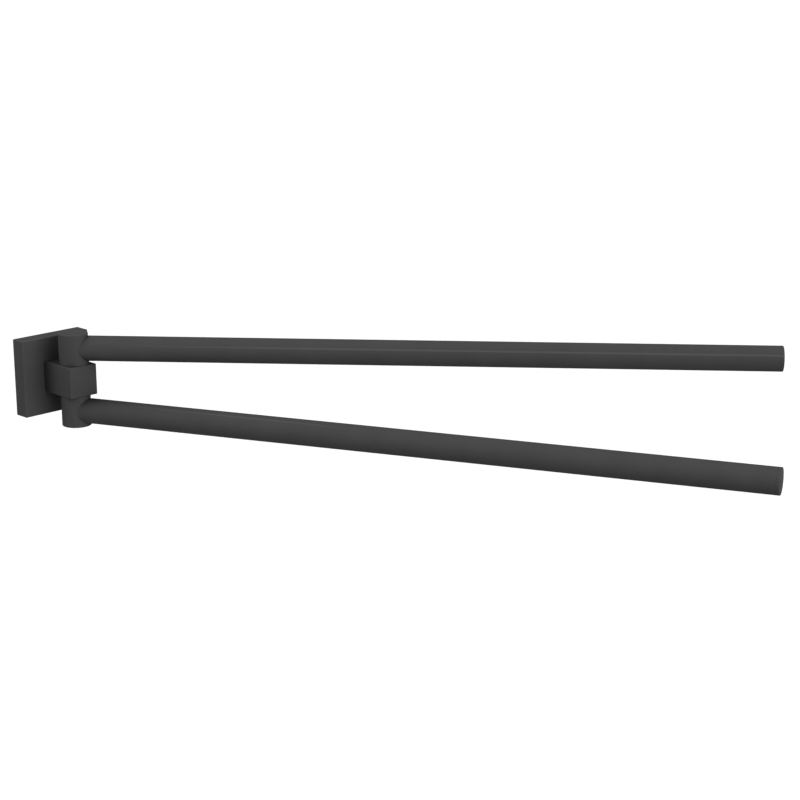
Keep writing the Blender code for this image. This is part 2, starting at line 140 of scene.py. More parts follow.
# Hubs, caps, tubes, spigots and plugs
HUB_ROUND = 0.45 * MM
HUB_FOOT_ROUND = 0.25 * MM
HUB_CLEARANCE = 0.05 * MM
CUP_FLOOR = 23.8 * MM
CUP_LEDGE = 0.1 * MM
CAP_ROUND = 0.15 * MM
TUBE_WALL = 1.4 * MM
SPIGOT_NOSE = 4.3 * MM
SPIGOT_ROUND = 0.6 * MM
SPIGOT_CHAMFER = 0.3 * MM
GLUE_GROOVES = 3
GROOVE_DEPTH = 0.4 * MM
GROOVE_HALF_MOUTH = 0.7 * MM
GROOVE_HALF_FLOOR = 0.3 * MM
PLUG_DISC = 2.0 * MM
PLUG_ROUND = 0.3 * MM
PLUG_CHAMFER = 0.5 * MM
PLUG_RIBS = 3
PLUG_RIB_START = 1.6 * MM
PLUG_RIB_PITCH = 2.0 * MM
PLUG_RIB_DEPTH = 0.3 * MM

# Bearing parts
BUSH_RADIUS = 5.0 * MM
BUSH_BORE = 4.1 * MM
BUSH_FLANGE = 1.0 * MM
BUSH_LEAD = 0.3 * MM
BUSH_ROUND = 0.15 * MM
DOWEL_ROUND = 0.4 * MM
PIN_CHAMFER = 0.5 * MM
TAPPED_RADIUS = 2.1 * MM
TAPPED_DEPTH = 9.0 * MM
WAVE_WIRE = 0.3 * MM
WAVE_EDGE = 0.05 * MM
WAVE_CLEARANCE = 0.2 * MM
WAVES = 3
WASHER_HOLE = 2.15 * MM
WASHER_ROUND = 0.15 * MM

# Screws: thread radius and pitch, and the radius of a flat point and of a hole for the thread
M4 = (2.0 * MM, 0.7 * MM)
M6 = (3.0 * MM, 1.0 * MM)
M4_POINT = 1.5 * MM
M6_POINT = 2.2 * MM
M4_HOLE = M4[0] + HOLE_GAP
M6_HOLE = M6[0] + HOLE_GAP

# Threads: depth as a share of the pitch, what is left of it at the point, and plain lengths at the ends
THREAD_DEPTH = 0.55
THREAD_FADE = 0.2
THREAD_LAND = 0.05 * MM
SEAT_GAP = 0.02 * MM
LONG_POINT = 0.5 * MM
SHORT_POINT = 0.4 * MM

# Heads and points
POST_SCREW_HEAD = 2.9 * MM
POST_SCREW_ROUND = 0.5 * MM
POST_SCREW_CHAMFER = 0.2 * MM
RETAINER_HEAD = 1.9 * MM
RETAINER_CROWN = 1.4 * MM
RETAINER_RIM = 0.2 * MM
PLATE_GRUB_CHAMFER = 0.3 * MM
PLATE_GRUB_CONE = 1.3 * MM
PLATE_GRUB_TIP = 0.4 * MM
PLATE_GRUB_NECK = 0.2 * MM
PIN_GRUB_CHAMFER = 0.5 * MM
PIN_GRUB_CUP_RADIUS = 1.3 * MM
PIN_GRUB_CUP_DEPTH = 0.8 * MM

# Hexagon sockets: radius to the corners, and depth
POST_SCREW_SOCKET = (2.5 * MM, 1.5 * MM)
PLATE_GRUB_SOCKET = (1.15 * MM, 1.5 * MM)
PIN_GRUB_SOCKET = (1.7 * MM, 2.0 * MM)
RETAINER_SOCKET = (1.25 * MM, 1.0 * MM)
SPIGOT_SOCKET = (2.9 * MM, 4.0 * MM)

# Powder coat
COAT_DARK = (0.0225, 0.0225, 0.0227)
COAT_LIGHT = (0.0255, 0.0255, 0.0257)
# Paler colour painted on rounded edges as a highlight, less where an edge faces down
COAT_EDGE_HIGHLIGHT = (0.040, 0.040, 0.0404)
# Colour of a painted highlight line along each arm
COAT_HIGHLIGHT_LINE = (0.050, 0.050, 0.0505)
# Colour of the painted shade in corners and crevices
COAT_CORNER_SHADE = (0.0, 0.0, 0.0)
COAT_SPECULAR = 0.004
COAT_ROUGH_LOW = 0.56
COAT_ROUGH_HIGH = 0.66
EDGE_HIGHLIGHT_BOX = 0.85
EDGE_HIGHLIGHT_TURNED = 0.35
EDGE_LEAN = (0.76, 0.97)
EDGE_BELOW = 0.45
EDGE_FULL = 0.6
EDGE_GLOSS = 0.06
# Painted highlight line on each arm: its strength, width, lean and where it fades in and out
HIGHLIGHT_LINE_STRENGTH = 0.38
HIGHLIGHT_LINE_HALF_WIDTH = math.radians(5.5)
HIGHLIGHT_LINE_START = (0.02, 0.14)
HIGHLIGHT_LINES = {
    "upper": (math.radians(26.3), (0.60, 0.90)),
    "lower": (math.radians(59), (0.12, 0.20)),
}
# Painted shade in corners: how far the occlusion test reaches, and how strong the shade is on each piece
CORNER_REACH = 0.040
CORNER_PLATE = 0.28
CORNER_POST = 0.40
CORNER_HUB = 0.42
CORNER_TUBE = 0.58
CORNER_SHARES = (0.5, 0.92)
CORNER_SAMPLES = 8

# Noise: scale in the object's metres, detail and roughness, and the values that it mostly lies between
COAT_SPECKLE = (2600, 2.0, 0.6)
COAT_CLOUD = (55, 3.0, 0.5)
COAT_PEEL = (900, 2.0, 0.45)
STEEL_CLOUD = (160, 3.0, 0.55)
STEEL_RING_SCALE = 9000
STEEL_RING_DETAIL = 2.0
ZINC_GRAIN = (1400, 4.0, 0.6)
ZINC_FLOW = (70, 4.0, 0.6)
ZINC_FLOW_STRETCH = (1, 1, 2.6)
ACETAL_CLOUD = (220, 2.0, 0.5)
ACETAL_GRAIN = (1800, 2.0, 0.5)
NOISE_LOW = 0.3
NOISE_HIGH = 0.7

# How the coat's noises share its tone and its roughness
COAT_TONE_SHARE = 0.55
COAT_TONE_RANGE = (0.35, 0.65)
COAT_ROUGH_SHARE = 0.5

# Bumps: strength and height
PEEL_BUMP = (0.25, 0.12 * MM)
SPECKLE_BUMP = (0.25, 0.05 * MM)
STEEL_BUMP = (0.2, 0.02 * MM)
ZINC_BUMP = (0.5, 0.12 * MM)
ACETAL_BUMP = (0.2, 0.05 * MM)

# Colours and roughness of the hidden materials, from where their noise is low to where it is high
STEEL_TINT = (0.56, 0.56, 0.57)
STEEL_ROUGHNESS = (0.22, 0.38)
OXIDE_TINT = (0.10, 0.10, 0.11)
OXIDE_ROUGHNESS = (0.34, 0.52)
STEEL_SHADE = 0.82
ZINC_DARK = (0.25, 0.255, 0.265)
ZINC_LIGHT = (0.42, 0.425, 0.435)
ZINC_ROUGHNESS = (0.62, 0.42)
ZINC_METALLIC = 0.9
ACETAL_DARK = (0.055, 0.055, 0.056)
ACETAL_LIGHT = (0.075, 0.075, 0.077)
ACETAL_ROUGHNESS = (0.42, 0.58)


# ---------------------------------------------------------------- frame


def joint(name):
    return next(item for item in frame["joints"] if item["name"] == name)


def middle(node):
    low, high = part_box(node)
    return (low + high) / 2


def half_width(node):
    """Half of a node's width along X: the radius of a round piece that stands upright or lies along Y."""
    low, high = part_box(node)
    return (high.x - low.x) / 2


def heights(node, up):
    """Nearest and farthest height of a node from the middle of the post, counted up or down."""
    low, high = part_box(node)
    return (low.z, high.z) if up > 0 else (-high.z, -low.z)


class Arm:
    """Where one arm lies: its axis point, its direction, and which way is away from the post."""

    def __init__(self, prefix):
        swing = joint(f"{prefix}_arm_swing")
        self.prefix = prefix
        self.body = f"{prefix}_arm"
        self.centre = Vector(swing["pos_m"])
        self.up = 1.0 if self.centre.z > 0 else -1.0
        parallel = math.radians(swing["range_deg"][1])
        self.aim = Vector((math.cos(parallel), -math.sin(parallel), 0.0))
        tube_low, tube_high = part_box(f"{prefix}_arm_tube")
        self.radius = (tube_high.z - tube_low.z) / 2
        self.reach = self.along("end_cap")[1]
        self.hub_radius = half_width(f"{prefix}_hub")
        self.hub_high = heights(f"{prefix}_hub", self.up)[1]

    def along(self, piece):
        """Nearest and farthest distance of one of its nodes from the swing axis, along the arm."""
        node = frame["nodes"][f"{self.prefix}_{piece}"]
        reach = [(vertex.co - self.centre).dot(self.aim) for vertex in node.data.vertices]
        return min(reach), max(reach)

    def matrix(self):
        """Turns a shape made along +Z so that it lies along the arm, from the swing axis."""
        return pointing(self.centre, self.aim)

    def axis_matrix(self):
        """Puts a shape turned about Z on the swing axis, the right way up for its arm."""
        return pointing((self.centre.x, self.centre.y, 0), UP * self.up)


# ---------------------------------------------------------------- shapes


def pointing(start, direction):
    """Moves a shape made from the origin along +Z to a start point and a direction."""
    turn = Vector(direction).to_track_quat("Z", "Y").to_matrix().to_4x4()
    return Matrix.Translation(start) @ turn


def new_object(name, shape, transform=Matrix.Identity(4)):
    """A mesh object from a bmesh, which is used up."""
    shape.transform(transform)
    bmesh.ops.recalc_face_normals(shape, faces=shape.faces)
    mesh = bpy.data.meshes.new(name)
    shape.to_mesh(mesh)
    shape.free()
    made = bpy.data.objects.new(name, mesh)
    bpy.context.scene.collection.objects.link(made)
    return made


def ring(shape, radii, height):
    """Points about Z, one for each radius, or a single point where they are all 0."""
    if not any(radii):
        return [shape.verts.new((0, 0, height))]
    turn = 2 * math.pi / len(radii)
    return [
        shape.verts.new((radius * math.cos(i * turn), radius * math.sin(i * turn), height))
        for i, radius in enumerate(radii)
    ]


def bridge(shape, first, second):
    """Joins two rings with faces."""
    count = max(len(first), len(second))
    for i in range(count):
        j = (i + 1) % count
        near = [first[i % len(first)], first[j % len(first)]]
        far = [second[j % len(second)], second[i % len(second)]]
        painted_corner_shade = list(dict.fromkeys(near + far))
        if len(painted_corner_shade) > 2:
            shape.faces.new(painted_corner_shade)


def lathe(outline, steps=FINE):
    """A closed solid turned about Z from (radius, height) points.

    An outline that doesn't both start and end on the axis is joined end to start, as for a ring.
    """
    shape = bmesh.new()
    rings = [ring(shape, [radius] * steps, height) for radius, height in outline]
    if len(rings[0]) > 1 or len(rings[-1]) > 1:
        rings.append(rings[0])
    for first, second in zip(rings, rings[1:]):
        bridge(shape, first, second)
    return shape


def threaded(head, size, top, bottom, point):
    """A turned head above a shank with a real helical thread, and a point below it.

    The head's outline runs from the axis down, and the point's outline on to the axis.
    """
    radius, pitch = size
    depth = THREAD_DEPTH * pitch
    shape = bmesh.new()
    rings = [ring(shape, [r] * THREAD_STEPS, height) for r, height in head]
    rows = math.ceil((top - bottom) / pitch * THREAD_ROWS)
    for row in range(rows + 1):
        height = top + (bottom - top) * row / rows
        fade = min(1.0, (top - height) / pitch, (height - bottom) / pitch + THREAD_FADE)
        radii = []
        for i in range(THREAD_STEPS):
            turn = (height / pitch - i / THREAD_STEPS) % 1.0
            radii.append(radius - depth * fade * (1 - abs(2 * turn - 1)))
        rings.append(ring(shape, radii, height))
    rings += [ring(shape, [r] * THREAD_STEPS, height) for r, height in point]
    for first, second in zip(rings, rings[1:]):
        bridge(shape, first, second)
    return shape


def fillet(radius, height, edge, steps=ROUND_STEPS, low=False):
    """A quarter-round at an outer corner of a turned outline, from the flat end to the side, or back."""
    points = []
    for i in range(steps + 1):
        angle = math.pi / 2 * (1 - i / steps)
        rise = edge * math.sin(angle) - edge
        points.append((radius - edge + edge * math.cos(angle), height + (-rise if low else rise)))
    return points[::-1] if low else points


def cuboid(low, high):
    """A box between two opposite corners."""
    low = Vector(low)
    high = Vector(high)
    shape = bmesh.new()
    bmesh.ops.create_cube(shape, size=1.0)
    bmesh.ops.scale(shape, vec=high - low, verts=shape.verts)
    bmesh.ops.translate(shape, vec=(low + high) / 2, verts=shape.verts)
    return shape


def rounded(shape, width, steps=ROUND_STEPS, pick=lambda edge: True):
    """A shape with its picked edges rounded."""
    bmesh.ops.bevel(
        shape,
        geom=[edge for edge in shape.edges if pick(edge)],
        offset=width,
        segments=steps,
        profile=ROUND_PROFILE,
        affect="EDGES",
    )
    return shape


def runs_along_y(edge):
    return abs(edge.verts[0].co.y - edge.verts[1].co.y) > MM


def cylinder(radius, start, length, direction, steps=MEDIUM, tip=None):
    """A cylinder, or a cone where its tip has a radius of its own, from a start point."""
    shape = bmesh.new()
    bmesh.ops.create_cone(
        shape,
        cap_ends=True,
        segments=steps,
        radius1=radius,
        radius2=radius if tip is None else tip,
        depth=length,
    )
    bmesh.ops.translate(shape, vec=(0, 0, length / 2), verts=shape.verts)
    shape.transform(pointing(start, direction))
    return shape


def hex_socket(size, start, direction):
    """A hexagon socket's cutter, with a drilled cone at its bottom, from the driven end inwards."""
    radius, depth = size
    outline = [(0, -BEYOND), (0, depth + radius / 2), (radius, depth), (radius, -BEYOND)]
    shape = lathe(outline, HEXAGON)
    shape.transform(pointing(start, direction))
    return shape


def cut(item, *shapes):
    """Cuts shapes out of an object, one after the other, and keeps only the result."""
    for number, shape in enumerate(shapes):
        tool = new_object(f"{item.name}_tool_{number}", shape)
        modifier = item.modifiers.new("Cut", "BOOLEAN")
        modifier.operation = "DIFFERENCE"
        modifier.solver = "EXACT"
        modifier.object = tool
        bpy.context.view_layer.update()
        graph = bpy.context.evaluated_depsgraph_get()
        mesh = bpy.data.meshes.new_from_object(item.evaluated_get(graph))
        item.modifiers.clear()
        old = item.data
        item.data = mesh
        bpy.data.meshes.remove(old)
        bpy.data.objects.remove(tool, do_unlink=True)


def place(item, body, node, material):
    """Shades a piece, gives it its material, and lets it stand for its CAD node."""
    item.data.shade_smooth()
    item.data.set_sharp_from_angle(angle=SHARP)
    item.data.materials.clear()
    item.data.materials.append(material)
    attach(item, body)
    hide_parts(node)


# ---------------------------------------------------------------- material nodes


def new_material(name):
    made = bpy.data.materials.new(name)
    made.use_nodes = True
    tree = made.node_tree
    shader = tree.nodes["Principled BSDF"]
    return made, tree, shader


def own_coordinates(tree):
    return tree.nodes.new("ShaderNodeTexCoord")


def noise(tree, scale, detail, roughness, stretch=(1, 1, 1)):
    """Noise in the object's own metres, so that its grain keeps its real size."""
    mapping = tree.nodes.new("ShaderNodeMapping")
    mapping.inputs["Scale"].default_value = stretch
    made = tree.nodes.new("ShaderNodeTexNoise")
    made.inputs["Scale"].default_value = scale
    made.inputs["Detail"].default_value = detail
    made.inputs["Roughness"].default_value = roughness
    tree.links.new(own_coordinates(tree).outputs["Object"], mapping.inputs["Vector"])
    tree.links.new(mapping.outputs["Vector"], made.inputs["Vector"])
    return made.outputs["Fac"]


def share_along(tree, vector, direction):
    """How much of a vector lies along a direction."""
    made = tree.nodes.new("ShaderNodeVectorMath")
    made.operation = "DOT_PRODUCT"
    made.inputs[1].default_value = direction
    tree.links.new(vector, made.inputs[0])
    return made.outputs["Value"]


def spread(tree, value, low, high, start=NOISE_LOW, end=NOISE_HIGH):
    """A value between start and end, spread out to run from low to high."""
    made = tree.nodes.new("ShaderNodeMapRange")
    made.inputs["From Min"].default_value = start
    made.inputs["From Max"].default_value = end
    made.inputs["To Min"].default_value = low
    made.inputs["To Max"].default_value = high
    tree.links.new(value, made.inputs["Value"])
    return made.outputs["Result"]


def math_node(tree, operation, first, second=None):
    made = tree.nodes.new("ShaderNodeMath")
    made.operation = operation
    for socket, value in zip(made.inputs, (first, second)):
        if value is None:
            continue
        if isinstance(value, (int, float)):
            socket.default_value = value
        else:
            tree.links.new(value, socket)
    return made.outputs["Value"]


def product(tree, *values):
    result = values[0]
    for value in values[1:]:
        result = math_node(tree, "MULTIPLY", result, value)
    return result


def blended(tree, first, second, share):
    """Part of one value and the rest of another."""
    return math_node(tree, "ADD", product(tree, first, 1 - share), product(tree, second, share))


def mix_colours(tree, factor, low, high):
    made = tree.nodes.new("ShaderNodeMix")
    made.data_type = "RGBA"
    for name, value in (("A", low), ("B", high)):
        socket = next(s for s in made.inputs if s.name == name and s.type == "RGBA")
        if isinstance(value, tuple):
            socket.default_value = (*value, 1.0)
        else:
            tree.links.new(value, socket)
    tree.links.new(factor, made.inputs["Factor"])
    return next(s for s in made.outputs if s.type == "RGBA")


def bump(tree, shader, height, size, below=None):
    """A bump of a strength and a height, on top of another where one is given."""
    strength, distance = size
    made = tree.nodes.new("ShaderNodeBump")
    made.inputs["Strength"].default_value = strength
    made.inputs["Distance"].default_value = distance
    tree.links.new(height, made.inputs["Height"])
    if below is not None:
        tree.links.new(below, made.inputs["Normal"])
    tree.links.new(made.outputs["Normal"], shader.inputs["Normal"])
    return made.outputs["Normal"]


def painted_corner_shade(tree, strength):
    """Painted shade: 0 on open faces, rising in inner corners and crevices, where little light comes back
    out.
    """
    hidden = tree.nodes.new("ShaderNodeAmbientOcclusion")
    hidden.samples = CORNER_SAMPLES
    hidden.inputs["Distance"].default_value = CORNER_REACH
    return spread(tree, hidden.outputs["AO"], strength, 0.0, *CORNER_SHARES)


def edge_highlight_mask(tree, axis):
    """Painted highlight on rounded edges: 1 where the surface leans between its main directions, as on a
    rounded edge, and 0 on its faces.

    The main directions are along the axis and square to it, or X, Y and Z where there is no axis. An
    edge that faces down gets less of the painted highlight.
    """
    normal = own_coordinates(tree).outputs["Normal"]
    if axis is None:
        shares = [share_along(tree, normal, main) for main in ((1, 0, 0), (0, 1, 0), (0, 0, 1))]
        sizes = [math_node(tree, "ABSOLUTE", share) for share in shares]
    else:
        along = math_node(tree, "ABSOLUTE", share_along(tree, normal, axis))
        square = math_node(tree, "SQRT", math_node(tree, "SUBTRACT", 1.0, product(tree, along, along)))
        sizes = [along, square]
    largest = sizes[0]
    for size in sizes[1:]:
        largest = math_node(tree, "MAXIMUM", largest, size)
    edge = spread(tree, largest, 1.0, 0.0, *EDGE_LEAN)
    lift = spread(tree, share_along(tree, normal, UP), EDGE_BELOW, 1.0, 0.0, EDGE_FULL)
    return product(tree, edge, lift)


def painted_highlight_line(tree, arm, lean, fading):
    """A painted highlight line along an arm, at an angle above the horizontal on its room side, fading
    out.
    """
    side = Vector((arm.aim.y, -arm.aim.x, 0)).normalized()
    across = side * math.cos(lean) + UP * math.sin(lean)
    offset = tree.nodes.new("ShaderNodeVectorMath")
    offset.operation = "SUBTRACT"
    offset.inputs[1].default_value = arm.centre
    tree.links.new(own_coordinates(tree).outputs["Object"], offset.inputs[0])
    out = share_along(tree, offset.outputs["Vector"], across)
    along = share_along(tree, offset.outputs["Vector"], arm.aim)
    ridge = spread(tree, out, 0.0, 1.0, arm.radius * math.cos(HIGHLIGHT_LINE_HALF_WIDTH), arm.radius)
    return product(
        tree,
        ridge,
        spread(tree, along, 0.0, 1.0, *HIGHLIGHT_LINE_START),
        spread(tree, along, 1.0, 0.0, *fading),
        HIGHLIGHT_LINE_STRENGTH,
    )


# ---------------------------------------------------------------- materials


def powder_coat(name, corner_shade, axis=None, highlight_line=None):
    """Matt black powder coat: fine speckle and soft orange peel, with a painted highlight on rounded
    edges, a painted highlight line where given, and painted shade in corners.
    """
    made, tree, shader = new_material(name)
    speckle = noise(tree, *COAT_SPECKLE)
    cloud = noise(tree, *COAT_CLOUD)
    peel = noise(tree, *COAT_PEEL)
    tone = blended(tree, speckle, cloud, COAT_TONE_SHARE)
    colour = mix_colours(tree, spread(tree, tone, 0.0, 1.0, *COAT_TONE_RANGE), COAT_DARK, COAT_LIGHT)
    # edge is the mask of the painted highlight on rounded edges
    edge = edge_highlight_mask(tree, axis)
    strength = EDGE_HIGHLIGHT_BOX if axis is None else EDGE_HIGHLIGHT_TURNED
    colour = mix_colours(tree, product(tree, edge, strength), colour, COAT_EDGE_HIGHLIGHT)
    # A painted highlight line along the arm
    if highlight_line is not None:
        colour = mix_colours(tree, painted_highlight_line(tree, *highlight_line), colour, COAT_HIGHLIGHT_LINE)
    # Painted shade in corners and crevices, from an occlusion test
    colour = mix_colours(tree, painted_corner_shade(tree, corner_shade), colour, COAT_CORNER_SHADE)
    tree.links.new(colour, shader.inputs["Base Color"])
    gloss = blended(tree, peel, cloud, COAT_ROUGH_SHARE)
    rough = spread(tree, gloss, COAT_ROUGH_LOW, COAT_ROUGH_HIGH)
    rough = math_node(tree, "SUBTRACT", rough, product(tree, edge, EDGE_GLOSS))
    tree.links.new(rough, shader.inputs["Roughness"])
    shader.inputs["Specular IOR Level"].default_value = COAT_SPECULAR
    soft = bump(tree, shader, peel, PEEL_BUMP)
    bump(tree, shader, speckle, SPECKLE_BUMP, soft)
    return made


def turned_steel(name, axis, tint, roughness):
    """Machined steel: fine rings round its turning axis, faint cloudy tone, and smears in the gloss."""
    made, tree, shader = new_material(name)
    cloud = noise(tree, *STEEL_CLOUD)
    rings = tree.nodes.new("ShaderNodeTexNoise")
    rings.noise_dimensions = "1D"
    rings.inputs["Scale"].default_value = STEEL_RING_SCALE
    rings.inputs["Detail"].default_value = STEEL_RING_DETAIL
    place_along = share_along(tree, own_coordinates(tree).outputs["Object"], axis)
    tree.links.new(place_along, rings.inputs["W"])
    dark = tuple(channel * STEEL_SHADE for channel in tint)
    colour = mix_colours(tree, spread(tree, cloud, 0.0, 1.0), dark, tint)
    tree.links.new(colour, shader.inputs["Base Color"])
    tree.links.new(spread(tree, cloud, *roughness), shader.inputs["Roughness"])
    shader.inputs["Metallic"].default_value = 1.0
    bump(tree, shader, rings.outputs["Fac"], STEEL_BUMP)
    return made


def stainless(name, axis):
    return turned_steel(f"stainless_{name}", axis, STEEL_TINT, STEEL_ROUGHNESS)


def black_oxide(name, axis):
    return turned_steel(f"black_oxide_{name}", axis, OXIDE_TINT, OXIDE_ROUGHNESS)


def cast_zinc():
    """As-cast zinc alloy: grainy skin, flow marks and dull stains."""
    made, tree, shader = new_material("cast_zinc_alloy")
    grain = noise(tree, *ZINC_GRAIN)
    flow = noise(tree, *ZINC_FLOW, stretch=ZINC_FLOW_STRETCH)
    colour = mix_colours(tree, spread(tree, flow, 0.0, 1.0), ZINC_DARK, ZINC_LIGHT)
    tree.links.new(colour, shader.inputs["Base Color"])
    tree.links.new(spread(tree, flow, *ZINC_ROUGHNESS), shader.inputs["Roughness"])
    shader.inputs["Metallic"].default_value = ZINC_METALLIC
    bump(tree, shader, grain, ZINC_BUMP)
    return made


def black_acetal():
    """Black acetal: dark, slightly waxy, with faint moulding marks."""
    made, tree, shader = new_material("black_acetal")
    cloud = noise(tree, *ACETAL_CLOUD)
    grain = noise(tree, *ACETAL_GRAIN)
    colour = mix_colours(tree, spread(tree, cloud, 0.0, 1.0), ACETAL_DARK, ACETAL_LIGHT)
    tree.links.new(colour, shader.inputs["Base Color"])
    tree.links.new(spread(tree, grain, *ACETAL_ROUGHNESS), shader.inputs["Roughness"])
    bump(tree, shader, grain, ACETAL_BUMP)
    return made


# ---------------------------------------------------------------- wall mount


def wall_plate():
    """The square cover: thin rounded edges in front, and a recess with rounded corners behind."""
    low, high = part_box("wall_plate")

    def in_front(edge):
        return min(vertex.co.y for vertex in edge.verts) < high.y - MM

    shell = rounded(cuboid(low, high), PLATE_ROUND, FINE_ROUND_STEPS, in_front)
    plate = new_object("wall_plate_shell", shell)
    recess_low = low + Vector((PLATE_WALL, PLATE_FACE, PLATE_WALL))
    recess_high = high + Vector((-PLATE_WALL, BEYOND, -PLATE_WALL))
    cut(plate, rounded(cuboid(recess_low, recess_high), RECESS_ROUND, pick=runs_along_y))
    outside = high.y + BEYOND
    through = 2 * (outside - low.y)
    screw_hole = cylinder(M6_HOLE, (0, outside, 0), through, -TO_WALL)
    dowel_radius = half_width("post_dowel") + HOLE_GAP
    dowel_start = (0, outside, middle("post_dowel").z)
    dowel_hole = cylinder(dowel_radius, dowel_start, through, -TO_WALL)
    grub_hole_y = middle("plate_grub_screw").y
    below = Vector((0, grub_hole_y, low.z - BEYOND))
    grub_hole = cylinder(M4_HOLE, below, PLATE_WALL + 2 * BEYOND, UP)
    lead = M4_HOLE + GRUB_LEAD + BEYOND
    cut(plate, screw_hole, dowel_hole, grub_hole, cylinder(lead, below, lead, UP, tip=0))
    place(plate, "wall_mount", "wall_plate", PLATE_COAT)


def wall_bracket():
    """The casting behind the plate: pockets with draft, countersunk holes, and ejector marks."""
    low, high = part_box("wall_bracket")
    bracket = new_object("cast_bracket", rounded(cuboid(low, high), BRACKET_ROUND))
    half = (high.x - low.x) / 2
    cutters = []
    for side in (-1, 1):
        edge = side * half
        notch = cuboid(
            (-NOTCH_HALF_WIDTH, -NOTCH_HIGH, edge - NOTCH_DEPTH),
            (NOTCH_HALF_WIDTH, -NOTCH_LOW, edge + NOTCH_DEPTH),
        )
        cutters.append(rounded(notch, NOTCH_ROUND))
        cutters.append(back_pocket(side, -1, half))
        cutters.append(back_pocket(side, 1, half))
        mark_start = (0, BEYOND, side * EJECTOR_HEIGHT)
        cutters.append(cylinder(EJECTOR_RADIUS, mark_start, BEYOND + EJECTOR_DEPTH, -TO_WALL))
    pocket_depth = BEYOND + (high.y - low.y) - BRACKET_WEB
    narrow = HEAD_POCKET_RADIUS * DRAFT
    pocket_start = (0, low.y - BEYOND, 0)
    cutters.append(cylinder(HEAD_POCKET_RADIUS, pocket_start, pocket_depth, TO_WALL, FINE, narrow))
    for side in (-1, 1):
        cutters.append(wall_screw_hole(side * WALL_SCREW_SPREAD, low.y, high.y))
    cut(bracket, *cutters)
    place(bracket, "wall_mount", "wall_bracket", ZINC)


def back_pocket(side, end, half):
    """One of the four pockets behind, narrower at its floor, with round corners."""
    edge = half - BRACKET_FRAME
    x = sorted((side * BACK_RIB, side * edge))
    z = sorted((end * BACK_BAR, end * edge))
    pocket = cuboid((x[0], -BACK_POCKET_DEPTH, z[0]), (x[1], BACK_POCKET_DEPTH, z[1]))
    centre = Vector((sum(x) / 2, 0, sum(z) / 2))
    for vertex in pocket.verts:
        if vertex.co.y < 0:
            vertex.co.x = centre.x + (vertex.co.x - centre.x) * DRAFT
            vertex.co.z = centre.z + (vertex.co.z - centre.z) * DRAFT

    def at_the_floor(edge):
        return min(vertex.co.y for vertex in edge.verts) < 0

    return rounded(pocket, BACK_POCKET_ROUND, pick=at_the_floor)


def wall_screw_hole(x, front, back):
    """A through hole with a 90 degree countersink below a short land, as one turned cutter."""
    depth = COUNTERSINK_RADIUS - WALL_SCREW_RADIUS
    outline = [
        (0, BEYOND),
        (COUNTERSINK_RADIUS, BEYOND),
        (COUNTERSINK_RADIUS, -COUNTERSINK_LAND),
        (WALL_SCREW_RADIUS, -COUNTERSINK_LAND - depth),
        (WALL_SCREW_RADIUS, front - back - BEYOND),
        (0, front - back - BEYOND),
    ]
    shape = lathe(outline, MEDIUM)
    shape.transform(pointing((x, front, 0), -TO_WALL))
    return shape


def plate_grub_screw():
    """The set screw under the plate, driven from below, its cone point up in the bracket's notch."""
    low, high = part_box("plate_grub_screw")
    radius, _ = M4
    length = high.z - low.z
    chamfer = PLATE_GRUB_CHAMFER
    cone_start = PLATE_GRUB_CONE - length
    head = [(0, 0), (radius - chamfer, 0), (radius, -chamfer)]
    point = [(radius - chamfer, cone_start), (PLATE_GRUB_TIP, -length), (0, -length)]
    shape = threaded(head, M4, -chamfer - THREAD_LAND, cone_start + PLATE_GRUB_NECK, point)
    centre = middle("plate_grub_screw")
    start = (centre.x, centre.y, low.z)
    screw = new_object("plate_set_screw", shape, pointing(start, -UP))
    cut(screw, hex_socket(PLATE_GRUB_SOCKET, start, UP))
    place(screw, "wall_mount", "plate_grub_screw", stainless("plate_grub", UP))


def post():
    """The square post, bored for the pin, with the screw's and the dowel's holes from behind."""
    low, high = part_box("post_block")
    block = new_object("square_post", rounded(cuboid(low, high), POST_ROUND))
    axis = ARMS[0].centre
    behind = high.y + BEYOND
    bore_start = (axis.x, axis.y, low.z - BEYOND)
    bore = cylinder(BUSH_BORE, bore_start, high.z - low.z + 2 * BEYOND, UP, FINE)
    thread = cylinder(M6_HOLE, (0, behind, 0), behind - axis.y, -TO_WALL)
    dowel_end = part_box("post_dowel")[0].y - 2 * HOLE_GAP
    dowel_start = (0, behind, middle("post_dowel").z)
    dowel = cylinder(half_width("post_dowel") + HOLE_GAP, dowel_start, behind - dowel_end, -TO_WALL)
    cut(block, bore, thread, dowel)
    place(block, "wall_mount", "post_block", POST_COAT)


def post_screw():
    """The cap screw from inside the plate into the post."""
    low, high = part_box("post_screw")
    seat = high.y - POST_SCREW_HEAD
    radius = half_width("post_screw")
    shank = seat - low.y
    head = [(0, POST_SCREW_HEAD)]
    head += fillet(radius, POST_SCREW_HEAD, POST_SCREW_ROUND, FINE_ROUND_STEPS)
    head += [(radius, POST_SCREW_CHAMFER), (radius - POST_SCREW_CHAMFER, 0)]
    point = [(M6_POINT, -shank), (0, -shank)]
    shape = threaded(head, M6, -SEAT_GAP, LONG_POINT - shank, point)
    screw = new_object("post_cap_screw", shape, pointing((0, seat, 0), TO_WALL))
    cut(screw, hex_socket(POST_SCREW_SOCKET, (0, high.y, 0), -TO_WALL))
    place(screw, "wall_mount", "post_screw", stainless("post_screw", TO_WALL))


def post_dowel():
    """The round-ended dowel between the plate and the post."""
    low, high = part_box("post_dowel")
    radius = half_width("post_dowel")
    length = high.y - low.y
    outline = [(0, length)] + fillet(radius, length, DOWEL_ROUND, FINE_ROUND_STEPS)
    outline += fillet(radius, 0, DOWEL_ROUND, FINE_ROUND_STEPS, low=True) + [(0, 0)]
    start = (0, low.y, middle("post_dowel").z)
    dowel = new_object("post_steel_dowel", lathe(outline, MEDIUM), pointing(start, TO_WALL))
    place(dowel, "wall_mount", "post_dowel", stainless("dowel", TO_WALL))


